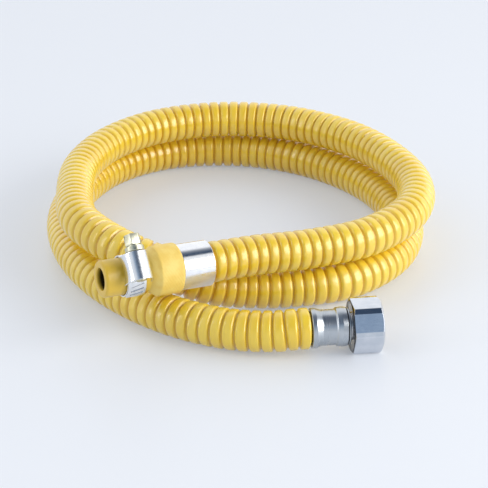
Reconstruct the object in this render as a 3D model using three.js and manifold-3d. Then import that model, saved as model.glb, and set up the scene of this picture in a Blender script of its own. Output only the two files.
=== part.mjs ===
// Flexible gas hose lying in a little over two turns: a corrugated steel gas tube in a yellow
// jacket, with a swivel union nut on one end and a clamped rubber push-on socket on the other.
// Millimetres, +Z up, floor at Z = 0, origin on the floor under the middle of the whole part.
// The socket's neck points towards -X, and the union nut's open end towards +X.

import * as THREE from 'three';
import { mergeVertices } from 'three/addons/utils/BufferGeometryUtils.js';
import Module from 'manifold-3d';

const wasm = await Module();
wasm.setup();

// Clearances
const FIT_GAP = 0.3;
const TURN_GAP = 0.6;

// Small broken edge on every turned metal piece
const EDGE_BREAK = 0.3;

// Hose
const HOSE_OD = 19.5;
const JACKET_WALL = 2;
const BELLOWS_WALL = 1.25;
const HOSE_STEPS = 80;
const JACKET_SIDES = 12;
const BELLOWS_SIDES = 10;
const BELLOWS_STRIP = 11;

// Union nut end, places measured along its axis from the end of the jacket
const NUT_END = { x: -24.5, y: -124.3, yaw: -17 };
const NUT_THREAD_R = 9.32;
const NUT_WALL = 2.68;
const NUT_LENGTH = 14.4;
const NUT_BACK_WALL = 2.4;
const NUT_MOUTH_CHAMFER = 1.2;
const NUT_FACE_STEP = 0.8;
const NUT_CHAMFER_DEG = 30;
const FERRULE_WALL = 0.65;
const LIP_HEIGHT = 0.6;
const LIP_LENGTH = 4.2;
const LIP_LAND = 1.4;
const NECK_LENGTH = 7.4;
const BEAD_HEIGHT = 0.9;
const BEAD_LENGTH = 5.6;
const BEAD_STEPS = 8;
const RIM_HEIGHT = 0.3;
const RIM_LENGTH = 0.9;
const NUT_PLAY = 0.7;
const TAIL_STEP = 0.6;
const TAIL_WALL = 1.3;
const TAIL_BARB_LENGTH = 9;
const TAIL_FLANGE = 1.8;
const GASKET = 2;
const GASKET_STEP = 0.4;

// Socket end, places measured along its axis from the mouth of the rubber
const MOUTH = { x: -110, y: -79, layer: 1.241 };
const SOCKET_RISE_DEG = 2;
const SOCKET_NECK_R = 8.75;
const SOCKET_NECK_LENGTH = 22.3;
const SOCKET_CONE_LENGTH = 4.2;
const SOCKET_BODY_STEP = 1;
const SOCKET_BODY_LENGTH = 11.4;
const SOCKET_BORE_R = 5.2;
const SOCKET_BORE_DEPTH = 24;
const SOCKET_MOUTH_CHAMFER = 0.8;
const SOCKET_EDGE = 1.2;
const SOCKET_BODY_EDGE = 0.6;
const SOCKET_TAIL_LENGTH = 6;
const SLEEVE_GAP = 0.45;
const SLEEVE_WALL = 0.7;
const SLEEVE_LENGTH = 15.6;
const NIPPLE_WALL = 1.3;
const NIPPLE_GRIP = 11;

// Worm-drive clamp, turned about the neck so that its screw leans back
const CLAMP_PLACE = 14.4;
const CLAMP_TURN_DEG = 52;
const BAND_WIDTH = 9;
const BAND_THICK = 0.7;
const BAND_START_DEG = 65;
const BAND_END_DEG = 535;
const BAND_STEP_DEG = 10;
const BAND_LIFT_DEG = [395, 420];
const SLOT_DEG = [380, 525];
const SLOT_PITCH = 2.2;
const SLOT_WIDTH = 1;
const SLOT_LENGTH = 6.4;
const SLOT_SLANT_DEG = 9;
const HOUSING_LENGTH = 13.5;
const HOUSING_WALL = 0.7;
const WORM_R = 3.4;
const WORM_CHAMFER = 0.6;
const HEAD_RIM_R = 4.2;
const HEAD_RIM = 1.2;
const HEAD_COLLAR_R = 3.8;
const HEAD_COLLAR = 1.8;
const HEAD_AF = 7;
const HEAD_HEIGHT = 5.2;
const HEAD_SINK = 0.5;
const HEAD_SLOT_WIDTH = 1.2;
const HEAD_SLOT_DEPTH = 1.8;

// Middle of the whole part on the floor, in the route's own coordinates
const MIDDLE = { x: -5.9, y: -11.6 };

// Route of the hose from the nut end to the socket end: x, y and layer. Layer 0 lies on the floor
// and layer 1 lies on the turn below. The mouth's height is given as a layer too.
const STATIONS = [
  [-39, -118.5, 0.06],
  [-55, -107.5, 0.02],
  [-72, -86.5, 0.005],
  [-85, -57.5, 0],
  [-92, -23, 0],
  [-90, 16, 0],
  [-78, 53, 0],
  [-57, 84, 0],
  [-27, 107, 0],
  [8, 114, 0],
  [44, 101.5, 0],
  [70, 74, 0],
  [84, 37, 0],
  [85, 0, 0],
  [75, -36, 0],
  [52, -65, 0],
  [18, -80, 0.005],
  [-14, -76, 0.015],
  [-34, -70.3, 0.09],
  [-52, -65.5, 0.28],
  [-69, -55.5, 0.69],
  [-83, -42, 0.97],
  [-90, -25, 1.09],
  [-92, -5, 1.13],
  [-81, 31, 1.04],
  [-64, 66, 1],
  [-39, 91, 1],
  [-6, 105, 1],
  [31, 102, 1],
  [63, 81.5, 1],
  [83, 47, 1.02],
  [89, 11, 1.02],
  [84, -28, 1],
  [65, -59, 1],
  [31, -78, 1],
  [-4, -80, 1.02],
];
const STRAIGHT_AT_NUT = 6;
const STRAIGHT_AT_SOCKET = [36, 12];

// Radii that follow from the hose: the bellows fit the jacket, the tail pipe and the nipple fit
// the bellows, the ferrule goes round the bellows, and the sleeve goes round the jacket
const bellowsR = HOSE_OD / 2 - JACKET_WALL - FIT_GAP;
const bellowsBoreR = bellowsR - BELLOWS_WALL;
const barbR = bellowsBoreR - FIT_GAP;
const tailR = barbR + TAIL_STEP;
const tailBoreR = barbR - TAIL_WALL;
const neckR = bellowsR + FIT_GAP + FERRULE_WALL;
const lipR = neckR + LIP_HEIGHT;
const beadR = neckR + BEAD_HEIGHT;
const rimR = neckR + RIM_HEIGHT;
const sleeveBoreR = HOSE_OD / 2 + SLEEVE_GAP;
const sleeveR = sleeveBoreR + SLEEVE_WALL;
const socketBodyR = sleeveR + SOCKET_BODY_STEP;

// Sizes that follow from the nut's thread
const nutAcrossFlats = 2 * (NUT_THREAD_R + NUT_WALL);
const nutFaceR = nutAcrossFlats / 2 - NUT_FACE_STEP;
const flangeR = NUT_THREAD_R - FIT_GAP;

// Heights over the floor: a layer of the coil is one hose and the gap to the next turn
const layerHeight = (layer) => HOSE_OD / 2 + layer * (HOSE_OD + TURN_GAP);
const mouthHeight = layerHeight(MOUTH.layer);
const nutHeight = nutAcrossFlats / 2;

// Places along the nut end's axis
const lipStart = FIT_GAP;
const neckStart = lipStart + LIP_LENGTH;
const beadStart = neckStart + NECK_LENGTH;
const rimStart = beadStart + BEAD_LENGTH;
const rimEnd = rimStart + RIM_LENGTH;
const nutStart = rimEnd + NUT_PLAY;
const nutEnd = nutStart + NUT_LENGTH;
const flangeStart = nutStart + NUT_BACK_WALL + FIT_GAP;
const gasketStart = flangeStart + TAIL_FLANGE + FIT_GAP;

// Places along the socket end's axis
const coneStart = SOCKET_NECK_LENGTH;
const bodyStart = coneStart + SOCKET_CONE_LENGTH;
const bodyEnd = bodyStart + SOCKET_BODY_LENGTH;
const sleeveStart = bodyEnd + FIT_GAP;
const sleeveEnd = sleeveStart + SLEEVE_LENGTH;
const rubberEnd = bodyEnd + SOCKET_TAIL_LENGTH;
const jacketEnd = rubberEnd + FIT_GAP;

const yellowPvc = new THREE.MeshStandardMaterial({ color: 0xe6b422, roughness: 0.35, metalness: 0 });
const yellowRubber = new THREE.MeshStandardMaterial({ color: 0xdfae2b, roughness: 0.6, metalness: 0 });
const chrome = new THREE.MeshStandardMaterial({ color: 0xd4d8de, roughness: 0.08, metalness: 1 });
const satinChrome = new THREE.MeshStandardMaterial({ color: 0xaeb8c6, roughness: 0.25, metalness: 1 });
const stainless = new THREE.MeshStandardMaterial({ color: 0xb9bcc0, roughness: 0.3, metalness: 1 });
const zinc = new THREE.MeshStandardMaterial({ color: 0xc9c6a6, roughness: 0.3, metalness: 1 });
const gasketRubber = new THREE.MeshStandardMaterial({ color: 0x202022, roughness: 0.8, metalness: 0 });

function piece(name, geometry, material) {
  const mesh = new THREE.Mesh(geometry, material);
  mesh.name = name;
  return mesh;
}

// Closed solid for cutting and joining, from a geometry's places alone
function solidOf(geometry) {
  const bare = geometry.clone();
  bare.deleteAttribute('normal');
  bare.deleteAttribute('uv');
  const merged = mergeVertices(bare, 1e-4);
  return new wasm.Manifold(
    new wasm.Mesh({
      numProp: 3,
      vertProperties: new Float32Array(merged.attributes.position.array),
      triVerts: new Uint32Array(merged.index.array),
    })
  );
}

function geometryOf(solid) {
  const mesh = solid.getMesh();
  const geometry = new THREE.BufferGeometry();
  geometry.setAttribute('position', new THREE.BufferAttribute(new Float32Array(mesh.vertProperties), 3));
  geometry.setIndex(new THREE.BufferAttribute(new Uint32Array(mesh.triVerts), 1));
  geometry.computeVertexNormals();
  return geometry;
}

function subtracted(geometry, cutters) {
  return geometryOf(cutters.reduce((solid, cutter) => solid.subtract(solidOf(cutter)), solidOf(geometry)));
}

function intersected(a, b) {
  return geometryOf(solidOf(a).intersect(solidOf(b)));
}

// Solid turned about the X axis from a closed outline of [place along X, radius] points, which
// runs along the outside towards +X and comes back along the bore
function turned(outline, segments) {
  const points = [...outline, outline[0]].map(([along, radius]) => new THREE.Vector2(radius, along));
  const geometry = new THREE.LatheGeometry(points, segments);
  geometry.rotateZ(-Math.PI / 2);
  return geometry;
}

// Points of a quarter round between two places of an outline, both ends included
function rounded(centre, radius, fromDeg, toDeg, steps) {
  return Array.from({ length: steps + 1 }, (_, i) => {
    const angle = THREE.MathUtils.degToRad(fromDeg + ((toDeg - fromDeg) * i) / steps);
    return [centre[0] + radius * Math.cos(angle), centre[1] + radius * Math.sin(angle)];
  });
}

// Prism with its outline in the Y and Z plane, centred on X = 0
function prismAlongX(shape, width) {
  const geometry = new THREE.ExtrudeGeometry(shape, { depth: width, bevelEnabled: false });
  geometry.translate(0, 0, -width / 2);
  const yAxis = new THREE.Vector3(0, 1, 0);
  const zAxis = new THREE.Vector3(0, 0, 1);
  const xAxis = new THREE.Vector3(1, 0, 0);
  geometry.applyMatrix4(new THREE.Matrix4().makeBasis(yAxis, zAxis, xAxis));
  return geometry;
}

function hexagon(acrossFlats) {
  const shape = new THREE.Shape();
  const cornerR = acrossFlats / Math.sqrt(3);
  for (let i = 0; i < 6; i += 1) {
    const angle = (i * Math.PI) / 3;
    const point = [cornerR * Math.cos(angle), cornerR * Math.sin(angle)];
    if (i === 0) {
      shape.moveTo(...point);
    } else {
      shape.lineTo(...point);
    }
  }
  shape.closePath();
  return shape;
}

function nutAxis() {
  const yaw = THREE.MathUtils.degToRad(NUT_END.yaw);
  return new THREE.Vector3(Math.cos(yaw), Math.sin(yaw), 0);
}

function socketAxis() {
  const rise = THREE.MathUtils.degToRad(SOCKET_RISE_DEG);
  return new THREE.Vector3(Math.cos(rise), 0, -Math.sin(rise));
}

// Centre line from the end of the bellows in the ferrule to the end of the jacket in the sleeve
function hoseRoute() {
  const nutEndPoint = new THREE.Vector3(NUT_END.x, NUT_END.y, nutHeight);
  const mouth = new THREE.Vector3(MOUTH.x, MOUTH.y, mouthHeight);
  const socketPoint = (along) => mouth.clone().addScaledVector(socketAxis(), along);
  return new THREE.CatmullRomCurve3([
    nutEndPoint.clone().addScaledVector(nutAxis(), BELLOWS_STRIP),
    nutEndPoint.clone(),
    nutEndPoint.clone().addScaledVector(nutAxis(), -STRAIGHT_AT_NUT),
    ...STATIONS.map(([x, y, layer]) => new THREE.Vector3(x, y, layerHeight(layer))),
    ...STRAIGHT_AT_SOCKET.map((along) => socketPoint(jacketEnd + along)),
    socketPoint(jacketEnd),
  ]);
}

// Ring section with flat sides, extruded along the route: the outside has its corners on its
// radius, and the bore has the middles of its sides on its radius
function hoseTube(route, outerR, outerSides, boreR, boreSides) {
  const polygon = (radius, sides) =>
    Array.from({ length: sides }, (_, i) => {
      const angle = (i * 2 * Math.PI) / sides;
      return new THREE.Vector2(radius * Math.cos(angle), radius * Math.sin(angle));
    });
  const section = new THREE.Shape(polygon(outerR, outerSides));
  section.holes.push(new THREE.Path(polygon(boreR / Math.cos(Math.PI / boreSides), boreSides)));
  return new THREE.ExtrudeGeometry(section, { steps: HOSE_STEPS, extrudePath: route, bevelEnabled: false });
}

function makeJacket(route) {
  const tube = hoseTube(route, HOSE_OD / 2, JACKET_SIDES, bellowsR + FIT_GAP, BELLOWS_SIDES);
  const cutter = new THREE.CylinderGeometry(HOSE_OD, HOSE_OD, 2 * BELLOWS_STRIP, 24);
  cutter.rotateZ(Math.PI / 2);
  cutter.translate(BELLOWS_STRIP, 0, 0);
  cutter.rotateZ(THREE.MathUtils.degToRad(NUT_END.yaw));
  cutter.translate(NUT_END.x, NUT_END.y, nutHeight);
  return piece('hose_jacket', subtracted(tube, [cutter]), yellowPvc);
}

function makeBellows(route) {
  const tube = hoseTube(route, bellowsR, BELLOWS_SIDES, bellowsBoreR, BELLOWS_SIDES);
  return piece('steel_bellows', tube, stainless);
}

function makeFerrule() {
  const bead = Array.from({ length: BEAD_STEPS + 1 }, (_, i) => {
    const place = i / BEAD_STEPS;
    const base = THREE.MathUtils.lerp(neckR, rimR, place);
    const swell = Math.sqrt(1 - (2 * place - 1) ** 4);
    return [beadStart + place * BEAD_LENGTH, base + (beadR - base) * swell];
  });
  const outline = [
    [lipStart, lipR - EDGE_BREAK],
    [lipStart + EDGE_BREAK, lipR],
    [lipStart + LIP_LAND, lipR],
    [neckStart, neckR],
    ...bead,
    [rimEnd, rimR],
    [rimEnd, tailR + FIT_GAP],
    [BELLOWS_STRIP + FIT_GAP, tailR + FIT_GAP],
    [BELLOWS_STRIP + FIT_GAP, bellowsR + FIT_GAP],
    [lipStart, bellowsR + FIT_GAP],
  ];
  return piece('nut_end_ferrule', turned(outline, 36), satinChrome);
}

function makeTailPipe() {
  const shoulder = BELLOWS_STRIP + FIT_GAP;
  const outline = [
    [BELLOWS_STRIP - TAIL_BARB_LENGTH, barbR],
    [shoulder, barbR],
    [shoulder, tailR],
    [flangeStart, tailR],
    [flangeStart, flangeR],
    [flangeStart + TAIL_FLANGE, flangeR],
    [flangeStart + TAIL_FLANGE, tailBoreR],
    [BELLOWS_STRIP - TAIL_BARB_LENGTH, tailBoreR],
  ];
  return piece('tail_pipe', turned(outline, 32), stainless);
}

function makeGasket() {
  const boreR = tailBoreR + GASKET_STEP;
  const outline = [
    [gasketStart, flangeR],
    [gasketStart + GASKET, flangeR],
    [gasketStart + GASKET, boreR],
    [gasketStart, boreR],
  ];
  return piece('sealing_gasket', turned(outline, 32), gasketRubber);
}

// Hexagon prism with both ends turned down to a cone, a hole for the tail pipe and a threaded
// socket, drawn at the thread's crest
function makeNut() {
  const hex = prismAlongX(hexagon(nutAcrossFlats), NUT_LENGTH);
  hex.translate(nutStart + NUT_LENGTH / 2, 0, 0);
  const cornerR = nutAcrossFlats / Math.sqrt(3) + EDGE_BREAK;
  const chamfer = (cornerR - nutFaceR) * Math.tan(THREE.MathUtils.degToRad(NUT_CHAMFER_DEG));
  const shoulder = nutStart + NUT_BACK_WALL;
  const turning = turned(
    [
      [nutStart, nutFaceR],
      [nutStart + chamfer, cornerR],
      [nutEnd - chamfer, cornerR],
      [nutEnd, nutFaceR],
      [nutEnd, NUT_THREAD_R + NUT_MOUTH_CHAMFER],
      [nutEnd - NUT_MOUTH_CHAMFER, NUT_THREAD_R],
      [shoulder, NUT_THREAD_R],
      [shoulder, tailR + FIT_GAP],
      [nutStart, tailR + FIT_GAP],
    ],
    36
  );
  return piece('swivel_nut', intersected(hex, turning), satinChrome);
}

function makeRubberSocket() {
  const edge = rounded([SOCKET_EDGE, SOCKET_NECK_R - SOCKET_EDGE], SOCKET_EDGE, 180, 90, 4);
  const grip = sleeveBoreR - FIT_GAP;
  const outline = [
    ...edge,
    [coneStart, SOCKET_NECK_R],
    [bodyStart, socketBodyR - SOCKET_BODY_EDGE],
    [bodyStart + SOCKET_BODY_EDGE, socketBodyR],
    [bodyEnd - SOCKET_BODY_EDGE, socketBodyR],
    [bodyEnd, socketBodyR - SOCKET_BODY_EDGE],
    [bodyEnd, grip],
    [rubberEnd, grip],
    [rubberEnd, barbR + FIT_GAP],
    [SOCKET_BORE_DEPTH, barbR + FIT_GAP],
    [SOCKET_BORE_DEPTH, SOCKET_BORE_R],
    [SOCKET_MOUTH_CHAMFER, SOCKET_BORE_R],
    [0, SOCKET_BORE_R + SOCKET_MOUTH_CHAMFER],
  ];
  return piece('rubber_socket', turned(outline, 40), yellowRubber);
}

function makeSleeve() {
  const rim = rounded([sleeveEnd - SLEEVE_WALL, sleeveBoreR], SLEEVE_WALL, 90, 0, 4);
  const outline = [
    [sleeveStart, sleeveR - EDGE_BREAK],
    [sleeveStart + EDGE_BREAK, sleeveR],
    ...rim,
    [sleeveStart, sleeveBoreR],
  ];
  return piece('socket_ferrule', turned(outline, 40), chrome);
}

function makeNipple() {
  const start = SOCKET_BORE_DEPTH + FIT_GAP;
  const end = jacketEnd + NIPPLE_GRIP;
  const outline = [
    [start, barbR],
    [end, barbR],
    [end, barbR - NIPPLE_WALL],
    [start, barbR - NIPPLE_WALL],
  ];
  return piece('socket_nipple', turned(outline, 32), stainless);
}

// Band's inner radius at an angle: its last part climbs over its first part
const bandR = SOCKET_NECK_R + FIT_GAP;
function bandRadius(deg) {
  const climb = THREE.MathUtils.smoothstep(deg, BAND_LIFT_DEG[0], BAND_LIFT_DEG[1]);
  return bandR + climb * (BAND_THICK + FIT_GAP);
}

function makeBand() {
  const at = (radius, deg) => {
    const angle = THREE.MathUtils.degToRad(deg);
    return new THREE.Vector2(radius * Math.cos(angle), radius * Math.sin(angle));
  };
  const steps = Math.round((BAND_END_DEG - BAND_START_DEG) / BAND_STEP_DEG);
  const angles = Array.from(
    { length: steps + 1 },
    (_, i) => BAND_START_DEG + ((BAND_END_DEG - BAND_START_DEG) * i) / steps
  );
  const outer = angles.map((deg) => at(bandRadius(deg) + BAND_THICK, deg));
  const inner = angles.map((deg) => at(bandRadius(deg), deg)).reverse();
  const strip = prismAlongX(new THREE.Shape([...outer, ...inner]), BAND_WIDTH);
  return piece('clamp_band', subtracted(strip, bandSlots()), stainless);
}

function bandSlots() {
  const slots = [];
  const pitchDeg = THREE.MathUtils.radToDeg(SLOT_PITCH / bandR);
  for (let deg = SLOT_DEG[0]; deg <= SLOT_DEG[1]; deg += pitchDeg) {
    const slot = new THREE.BoxGeometry(SLOT_LENGTH, SLOT_WIDTH, BAND_THICK + FIT_GAP);
    slot.rotateZ(THREE.MathUtils.degToRad(SLOT_SLANT_DEG));
    slot.translate(0, 0, bandRadius(deg) + BAND_THICK / 2);
    slot.rotateX(THREE.MathUtils.degToRad(deg - 90));
    slots.push(slot);
  }
  return slots;
}

// Heights over the neck's axis, where the band passes under the worm
const bandTop = bandR + 2 * BAND_THICK + FIT_GAP;
const wormHeight = bandTop + FIT_GAP + WORM_R;

// Folded housing: a dome over the worm, flat shoulders over the band's edges and two side walls
// that reach down beside the band to the neck
function makeHousing() {
  const domeR = WORM_R + FIT_GAP + HOUSING_WALL;
  const innerR = WORM_R + FIT_GAP;
  const halfIn = BAND_WIDTH / 2 + FIT_GAP;
  const halfOut = halfIn + HOUSING_WALL;
  const shoulder = bandTop + FIT_GAP;
  const shape = new THREE.Shape();
  shape.moveTo(halfOut, 0);
  shape.lineTo(halfOut, shoulder + HOUSING_WALL / 2);
  shape.lineTo(halfOut - HOUSING_WALL / 2, shoulder + HOUSING_WALL);
  shape.lineTo(domeR, shoulder + HOUSING_WALL);
  shape.lineTo(domeR, wormHeight);
  shape.absarc(0, wormHeight, domeR, 0, Math.PI, false);
  shape.lineTo(-domeR, shoulder + HOUSING_WALL);
  shape.lineTo(-halfOut + HOUSING_WALL / 2, shoulder + HOUSING_WALL);
  shape.lineTo(-halfOut, shoulder + HOUSING_WALL / 2);
  shape.lineTo(-halfOut, 0);
  shape.lineTo(-halfIn, 0);
  shape.lineTo(-halfIn, shoulder);
  shape.lineTo(-innerR, shoulder);
  shape.lineTo(-innerR, wormHeight);
  shape.absarc(0, wormHeight, innerR, Math.PI, 0, true);
  shape.lineTo(innerR, shoulder);
  shape.lineTo(halfIn, shoulder);
  shape.lineTo(halfIn, 0);
  shape.closePath();
  const fold = new THREE.ExtrudeGeometry(shape, {
    depth: HOUSING_LENGTH,
    bevelEnabled: false,
    curveSegments: 10,
  });
  fold.translate(0, 0, -HOUSING_LENGTH / 2);
  fold.rotateX(Math.PI / 2);
  const neck = new THREE.CylinderGeometry(bandR, bandR, 4 * BAND_WIDTH, 48);
  neck.rotateZ(Math.PI / 2);
  return piece('clamp_housing', subtracted(fold, [neck]), chrome);
}

// Worm screw along Y, its thread drawn at the crest, with a rim and a collar under a slotted
// hexagon head
function makeScrew() {
  const headStart = HOUSING_LENGTH / 2 + FIT_GAP;
  const rimTop = headStart + HEAD_RIM;
  const collarTop = rimTop + HEAD_COLLAR;
  const top = collarTop + HEAD_HEIGHT;
  const shaft = new THREE.LatheGeometry(
    [
      [0, -HOUSING_LENGTH / 2],
      [WORM_R - WORM_CHAMFER, -HOUSING_LENGTH / 2],
      [WORM_R, -HOUSING_LENGTH / 2 + WORM_CHAMFER],
      [WORM_R, headStart],
      [HEAD_RIM_R, headStart],
      [HEAD_RIM_R, rimTop],
      [HEAD_COLLAR_R, rimTop],
      [HEAD_COLLAR_R, collarTop],
      [0, collarTop],
    ].map(([radius, along]) => new THREE.Vector2(radius, along)),
    28
  );
  const cornerR = HEAD_AF / Math.sqrt(3);
  const hex = new THREE.CylinderGeometry(cornerR, cornerR, HEAD_HEIGHT + HEAD_SINK, 6);
  hex.translate(0, collarTop + (HEAD_HEIGHT - HEAD_SINK) / 2, 0);
  const slot = new THREE.BoxGeometry(2 * HEAD_AF, 2 * HEAD_SLOT_DEPTH, HEAD_SLOT_WIDTH);
  slot.translate(0, top, 0);
  const screw = geometryOf(solidOf(shaft).add(solidOf(hex)).subtract(solidOf(slot)));
  const mesh = piece('clamp_screw', screw, zinc);
  mesh.position.set(0, 0, wormHeight);
  return mesh;
}

function makeNutEnd() {
  const end = new THREE.Group();
  end.position.set(NUT_END.x, NUT_END.y, nutHeight);
  end.rotation.z = THREE.MathUtils.degToRad(NUT_END.yaw);
  end.add(makeFerrule(), makeTailPipe(), makeGasket(), makeNut());
  return end;
}

function makeClamp() {
  const clamp = new THREE.Group();
  clamp.position.set(CLAMP_PLACE, 0, 0);
  clamp.rotation.x = THREE.MathUtils.degToRad(CLAMP_TURN_DEG);
  clamp.add(makeBand(), makeHousing(), makeScrew());
  return clamp;
}

function makeSocketEnd() {
  const end = new THREE.Group();
  end.position.set(MOUTH.x, MOUTH.y, mouthHeight);
  end.rotation.y = THREE.MathUtils.degToRad(SOCKET_RISE_DEG);
  end.add(makeRubberSocket(), makeSleeve(), makeNipple(), makeClamp());
  return end;
}

const route = hoseRoute();
const group = new THREE.Group();
group.position.set(-MIDDLE.x, -MIDDLE.y, 0);
group.add(makeJacket(route), makeBellows(route), makeNutEnd(), makeSocketEnd());

export default group;
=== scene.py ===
# %% [markdown]
# # A flexible gas hose in a double loop
# The object joins a gas cooker or heater to the gas pipe. A thin corrugated steel tube carries the
# gas, and a yellow jacket protects it. One end has a swivel nut for a threaded pipe, and the other
# has a rubber socket that is pushed on a ribbed nozzle and held by a screw clamp.
#
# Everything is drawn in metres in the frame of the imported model, so that each piece lands where its
# plain solid is. The solids stay hidden for the physics, and these pieces show instead.

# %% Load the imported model
import math

import bmesh
import bpy
import numpy as np
from mathutils import Matrix, Vector


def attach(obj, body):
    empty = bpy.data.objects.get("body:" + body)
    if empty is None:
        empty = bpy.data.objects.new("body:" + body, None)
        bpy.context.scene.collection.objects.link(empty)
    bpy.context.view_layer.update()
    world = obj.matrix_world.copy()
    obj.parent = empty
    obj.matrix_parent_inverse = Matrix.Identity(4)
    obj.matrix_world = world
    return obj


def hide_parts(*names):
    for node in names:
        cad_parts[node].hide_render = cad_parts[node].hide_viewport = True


MM = 0.001

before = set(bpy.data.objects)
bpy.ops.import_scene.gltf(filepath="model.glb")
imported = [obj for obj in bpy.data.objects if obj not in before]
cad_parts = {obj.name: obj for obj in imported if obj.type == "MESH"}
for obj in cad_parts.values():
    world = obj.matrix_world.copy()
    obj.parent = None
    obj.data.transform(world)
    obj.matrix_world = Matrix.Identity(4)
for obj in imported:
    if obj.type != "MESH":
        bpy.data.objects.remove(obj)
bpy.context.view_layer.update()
print("nodes:", ", ".join(sorted(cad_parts)))

# %% [markdown]
# ## Camera
# A product like this is photographed with a long lens from a fair distance, so that the near and
# the far side of the loop keep almost the same size. The camera looks down by 24 degrees, past the
# rubber socket, which stands at the left.

# %% Camera
LENS = 150
SENSOR = 36
LOOK_AT = Vector((5.9, 11.6, 0)) * MM
DISTANCE = 1058.8 * MM
HEADING = math.radians(25)
PITCH = math.radians(24)

ahead = Vector((math.sin(HEADING), math.cos(HEADING), -math.tan(PITCH))).normalized()
lens = bpy.data.cameras.new("camera")
lens.lens = LENS
lens.sensor_width = SENSOR
camera = bpy.data.objects.new("camera", lens)
camera.location = LOOK_AT - ahead * DISTANCE
camera.rotation_euler = (math.pi / 2 - PITCH, 0, -HEADING)
bpy.context.collection.objects.link(camera)
bpy.context.scene.camera = camera
print("camera at", [round(value, 3) for value in camera.location])

# %% [markdown]
# ## Where the hose lies
# The hose starts at the nut, makes a full turn on the floor, climbs on its own first turn and makes
# a second one on top, and ends in the socket. A Bezier curve drawn by hand could do for that, but
# its handles are hard to fit to a photograph. So the centre line is one smooth curve through points
# that are given as x, y and layer: layer 0 lies on the floor and layer 1 on the turn below. A
# centripetal spline runs through them without loops or bumps, also where they stand close together.

# %% Places of the two ends
HOSE_OD = 19.5
TURN_GAP = 0.6
MIDDLE = np.array([-5.9, -11.6, 0])
MOUTH_LAYER = 1.241


def layer_height(layer):
    return HOSE_OD / 2 + layer * (HOSE_OD + TURN_GAP)


def placed(x, y, z, turn_deg, axis):
    """Frame of a piece in millimetres, at a point of the route and turned about one axis."""
    move = Matrix.Translation(Vector((x, y, z)) - Vector(MIDDLE))
    return move @ Matrix.Rotation(math.radians(turn_deg), 4, axis)


nut_frame = placed(-24.5, -124.3, 12, -17, "Z")
socket_frame = placed(-110, -79, layer_height(MOUTH_LAYER), 2, "Y")


def along(place, distance):
    """Point on the axis of an end, counted from the jacket's end or from the socket's mouth."""
    return np.array(place @ Vector((distance, 0, 0)))


print("nut end at", along(nut_frame, 0).round(1), "mouth at", along(socket_frame, 0).round(1))

# %% Route of the hose
STATIONS = [
    (-39, -118.5, 0.06), (-55, -107.5, 0.02), (-72, -86.5, 0.005), (-85, -57.5, 0),
    (-92, -23, 0), (-90, 16, 0), (-78, 53, 0), (-57, 84, 0), (-27, 107, 0), (8, 114, 0),
    (44, 101.5, 0), (70, 74, 0), (84, 37, 0), (85, 0, 0), (75, -36, 0), (52, -65, 0),
    (18, -80, 0.005), (-14, -76, 0.015), (-34, -70.3, 0.09), (-52, -65.5, 0.28),
    (-69, -55.5, 0.69), (-83, -42, 0.97), (-90, -25, 1.09), (-92, -5, 1.13), (-81, 31, 1.04),
    (-64, 66, 1), (-39, 91, 1), (-6, 105, 1), (31, 102, 1), (63, 81.5, 1), (83, 47, 1.02),
    (89, 11, 1.02), (84, -28, 1), (65, -59, 1), (31, -78, 1), (-4, -80, 1.02),
]
SPAN_STEPS = 40
BELLOWS_STRIP = 11
NUT_LEAD = 6
JACKET_END = 44.2
SOCKET_LEADS = (36, 12)


def smooth_line(points, steps):
    """Centripetal spline through the points, with a number of steps in each span."""
    points = np.vstack([2 * points[0] - points[1], points, 2 * points[-1] - points[-2]])
    u = np.linspace(0, 1, steps, endpoint=False)[:, None]
    line = []
    for a, b, c, d in zip(points, points[1:], points[2:], points[3:]):
        before, across, after = (np.linalg.norm(q - p) ** 0.5 for p, q in ((a, b), (b, c), (c, d)))
        leave = ((b - a) / before - (c - a) / (before + across) + (c - b) / across) * across
        reach = ((c - b) / across - (d - b) / (across + after) + (d - c) / after) * across
        line.append(
            (2 * u**3 - 3 * u**2 + 1) * b + (u**3 - 2 * u**2 + u) * leave
            + (3 * u**2 - 2 * u**3) * c + (u**3 - u**2) * reach
        )
    return np.vstack([*line, points[-2:-1]])


def length_of(line):
    return np.linalg.norm(np.diff(line, axis=0), axis=1).sum()


route = np.array(
    [along(nut_frame, distance) for distance in (BELLOWS_STRIP, 0, -NUT_LEAD)]
    + [np.array([x, y, layer_height(layer)]) - MIDDLE for x, y, layer in STATIONS]
    + [along(socket_frame, JACKET_END + distance) for distance in (*SOCKET_LEADS, 0)]
)
bellows_line = smooth_line(route, SPAN_STEPS)
jacket_line = bellows_line[SPAN_STEPS:]
print(f"jacket {length_of(jacket_line):.0f} mm long, bellows {length_of(bellows_line):.0f} mm")

# %% [markdown]
# ## Tools for node trees
# Geometry trees and materials are both built from nodes, so the same few helpers serve both: one
# adds a node and fills its sockets, one does arithmetic, and one makes a smooth step. For geometry
# there are three more: one starts a tree with named inputs, one keeps a value on the mesh under a
# name, and one ends the tree. The last helper turns a finished tree into a plain mesh.

# %% Helpers for nodes
def add(tree, kind, sockets=None, **settings):
    """Adds a node. Its sockets are given by name or number, as a value or as an output to link."""
    node = tree.nodes.new(kind)
    for key, value in settings.items():
        setattr(node, key, value)
    for key, value in (sockets or {}).items():
        if isinstance(value, bpy.types.NodeSocket):
            tree.links.new(value, node.inputs[key])
        else:
            node.inputs[key].default_value = value
    return node


def calc(tree, operation, *values):
    return add(tree, "ShaderNodeMath", dict(enumerate(values)), operation=operation).outputs[0]


def ramp(tree, value, low, high, first=0.0, last=1.0):
    """Smooth step from first to last as the value goes from low to high."""
    sockets = {"Value": value, "From Min": low, "From Max": high, "To Min": first, "To Max": last}
    return add(tree, "ShaderNodeMapRange", sockets, interpolation_type="SMOOTHSTEP").outputs[0]


def node_of(tree, kind):
    """The one node of a kind in a tree."""
    return next(node for node in tree.nodes if node.type == kind)


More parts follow.
